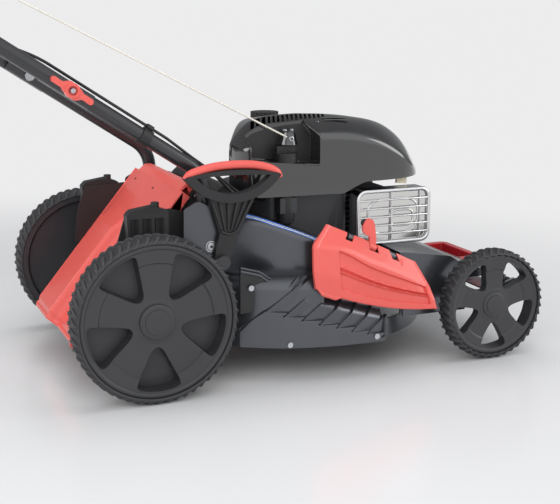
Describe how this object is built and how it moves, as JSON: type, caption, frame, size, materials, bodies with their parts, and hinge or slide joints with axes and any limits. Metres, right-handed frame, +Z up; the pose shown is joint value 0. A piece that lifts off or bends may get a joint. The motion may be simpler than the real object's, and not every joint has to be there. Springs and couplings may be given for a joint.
{
  "type": "walk-behind lawn mower",
  "caption": "Walk-behind rotary mower with a steel deck, rear and side discharge flaps, engine, folding handle with brake bail, and lever height adjustment.",
  "frame": {"origin": "on the ground under the middle of the mower's box", "axes": "+X forward, away from the user, +Y to the mower's left, +Z up"},
  "size_m": [1.64, 0.5527, 1.0637],
  "materials": {
    "deck_steel": "anthracite metallic powder coat",
    "red_plastic": "moulded coral red, fine grain",
    "black_plastic": "moulded black, fine grain",
    "gloss_black": "glossy black engine housing",
    "tyre_rubber": "moulded rubber tread",
    "wheel_plastic": "satin dark grey wheel plastic",
    "tube_paint": "satin black tube",
    "zinc_steel": "zinc-plated steel",
    "polished_steel": "polished stainless sheet",
    "engine_alloy": "die-cast alloy",
    "dark_iron": "dark cast metal",
    "blade_steel": "hardened steel blade",
    "foam_rubber": "foam grip",
    "rope_weave": "off-white braided rope",
    "ceramic_white": "white insulator"
  },
  "bodies": {
    "chassis": {"deck_shell": "deck_steel", "side_skirt": "deck_steel", "side_flap_pin": "zinc_steel", "rear_chute": "black_plastic", "rear_flap_pin": "zinc_steel", "rear_flap_springs": "zinc_steel", "rear_bridge": "black_plastic", "front_cover": "deck_steel", "front_handle": "red_plastic", "handle_brackets": "deck_steel", "bracket_bolts": "zinc_steel", "lower_handle_tubes": "tube_paint", "clamp_bolts": "zinc_steel", "cable_clips": "black_plastic", "control_cables": "black_plastic", "starter_rope": "rope_weave", "engine_cowl": "gloss_black", "engine_block": "engine_alloy", "spark_plug": "ceramic_white", "muffler": "dark_iron", "muffler_guard": "polished_steel", "fuel_tank": "black_plastic", "air_filter": "black_plastic", "body_screws": "zinc_steel"},
    "height_lever_unit": {"rear_axle": "zinc_steel", "height_lever": "black_plastic", "lever_grip": "red_plastic"},
    "front_axle_unit": {"front_axle": "zinc_steel"},
    "height_link_rod": {"height_link": "zinc_steel"},
    "rear_left_wheel": {"rear_left_rim": "wheel_plastic", "rear_left_tyre": "tyre_rubber", "rear_left_hub_cap": "wheel_plastic"},
    "rear_right_wheel": {"rear_right_rim": "wheel_plastic", "rear_right_tyre": "tyre_rubber", "rear_right_hub_cap": "wheel_plastic"},
    "front_left_wheel": {"front_left_rim": "wheel_plastic", "front_left_tyre": "tyre_rubber", "front_left_hub_cap": "wheel_plastic"},
    "front_right_wheel": {"front_right_rim": "wheel_plastic", "front_right_tyre": "tyre_rubber", "front_right_hub_cap": "wheel_plastic"},
    "rear_flap_door": {"rear_flap": "red_plastic"},
    "side_flap_door": {"side_flap": "red_plastic"},
    "side_latch": {"side_flap_latch": "red_plastic"},
    "upper_handle_unit": {"upper_handle": "tube_paint", "handle_grip": "foam_rubber", "rope_guide": "black_plastic", "rope_tail": "rope_weave"},
    "bail": {"brake_bail": "tube_paint"},
    "left_wing_nut": {"wing_nut_left": "red_plastic"},
    "right_wing_nut": {"wing_nut_right": "red_plastic"},
    "starter_pull": {"starter_grip": "black_plastic"},
    "starter_reel": {"starter_pulley": "engine_alloy"},
    "fuel_filler_cap": {"fuel_cap": "black_plastic"},
    "oil_filler_cap": {"oil_cap": "black_plastic"},
    "crank_unit": {"crankshaft": "dark_iron", "blade_adapter": "dark_iron", "blade": "blade_steel", "blade_bolt": "zinc_steel", "flywheel": "dark_iron"}
  },
  "joints": [
    {"name": "height_adjust", "type": "hinge", "parent": "chassis", "child": "height_lever_unit", "pos_m": [0.2115, 0, 0.214], "axis": [0, 1, 0], "range_deg": [-11, 11]},
    {"name": "front_axle_swing", "type": "hinge", "parent": "chassis", "child": "front_axle_unit", "pos_m": [0.785, 0, 0.125], "axis": [0, 1, 0], "range_deg": [-22, 22]},
    {"name": "height_link_swing", "type": "hinge", "parent": "height_lever_unit", "child": "height_link_rod", "pos_m": [0.2115, 0.2175, 0.314], "axis": [0, 1, 0], "range_deg": [-11, 11]},
    {"name": "rear_left_roll", "type": "hinge", "parent": "height_lever_unit", "child": "rear_left_wheel", "pos_m": [0.0765, 0.249, 0.14], "axis": [0, 1, 0], "continuous": true},
    {"name": "rear_right_roll", "type": "hinge", "parent": "height_lever_unit", "child": "rear_right_wheel", "pos_m": [0.0765, -0.249, 0.14], "axis": [0, 1, 0], "continuous": true},
    {"name": "front_left_roll", "type": "hinge", "parent": "front_axle_unit", "child": "front_left_wheel", "pos_m": [0.7175, 0.254, 0.1025], "axis": [0, 1, 0], "continuous": true},
    {"name": "front_right_roll", "type": "hinge", "parent": "front_axle_unit", "child": "front_right_wheel", "pos_m": [0.7175, -0.254, 0.1025], "axis": [0, 1, 0], "continuous": true},
    {"name": "rear_flap_lift", "type": "hinge", "parent": "chassis", "child": "rear_flap_door", "pos_m": [0.1885, 0, 0.318], "axis": [0, 1, 0], "range_deg": [0, 80], "stiffness_Nm_per_rad": 1.5, "springref_deg": -28.65},
    {"name": "side_flap_lift", "type": "hinge", "parent": "chassis", "child": "side_flap_door", "pos_m": [0.3985, -0.226, 0.262], "axis": [0.9014, -0.0605, -0.4287], "range_deg": [-75, 0], "stiffness_Nm_per_rad": 0.6, "springref_deg": 28.65},
    {"name": "side_latch_turn", "type": "hinge", "parent": "side_flap_door", "child": "side_latch", "pos_m": [0.48098, -0.23153, 0.22277], "axis": [0.9014, -0.0605, -0.4287], "range_deg": [-20, 0], "stiffness_Nm_per_rad": 0.2, "springref_deg": 17.19},
    {"name": "handle_fold", "type": "hinge", "parent": "chassis", "child": "upper_handle_unit", "pos_m": [-0.0355, 0, 0.51159], "axis": [0, 1, 0], "range_deg": [0, 140], "deforming": ["control_cables", "starter_rope"]},
    {"name": "bail_close", "type": "hinge", "parent": "upper_handle_unit", "child": "bail", "pos_m": [-0.7081, 0, 0.95677], "axis": [0, 1, 0], "range_deg": [-19.5, 0], "stiffness_Nm_per_rad": 0.8, "springref_deg": 34.38},
    {"name": "left_wing_nut_turn", "type": "hinge", "parent": "chassis", "child": "left_wing_nut", "pos_m": [-0.0355, 0.22, 0.51159], "axis": [0, 1, 0], "continuous": true},
    {"name": "right_wing_nut_turn", "type": "hinge", "parent": "chassis", "child": "right_wing_nut", "pos_m": [-0.0355, -0.22, 0.51159], "axis": [0, 1, 0], "continuous": true},
    {"name": "starter_pull_out", "type": "slide", "parent": "upper_handle_unit", "child": "starter_pull", "axis": [-0.4462, 0, 0.8949], "range_m": [0, 0.35], "stiffness_N_per_m": 20, "springref_m": -0.3, "deforming": ["rope_tail"]},
    {"name": "starter_reel_turn", "type": "hinge", "parent": "chassis", "child": "starter_reel", "pos_m": [0.4065, 0, 0.361], "axis": [0, 0, 1], "range_deg": [-10, 620]},
    {"name": "fuel_cap_turn", "type": "hinge", "parent": "chassis", "child": "fuel_filler_cap", "pos_m": [0.3945, 0.062, 0.43], "axis": [0, 0, 1], "continuous": true},
    {"name": "oil_cap_turn", "type": "hinge", "parent": "chassis", "child": "oil_filler_cap", "pos_m": [0.3605, -0.126, 0.38], "axis": [0, 0, 1], "continuous": true},
    {"name": "crank_turn", "type": "hinge", "parent": "chassis", "child": "crank_unit", "pos_m": [0.4065, 0, 0.2], "axis": [0, 0, 1], "continuous": true}
  ],
  "couplings": [
    {"joint": "front_axle_swing", "follows": "height_adjust", "ratio": 2},
    {"joint": "height_link_swing", "follows": "height_adjust", "ratio": -1},
    {"joint": "starter_reel_turn", "follows": "starter_pull_out", "rad_per_m": 30.303}
  ]
}
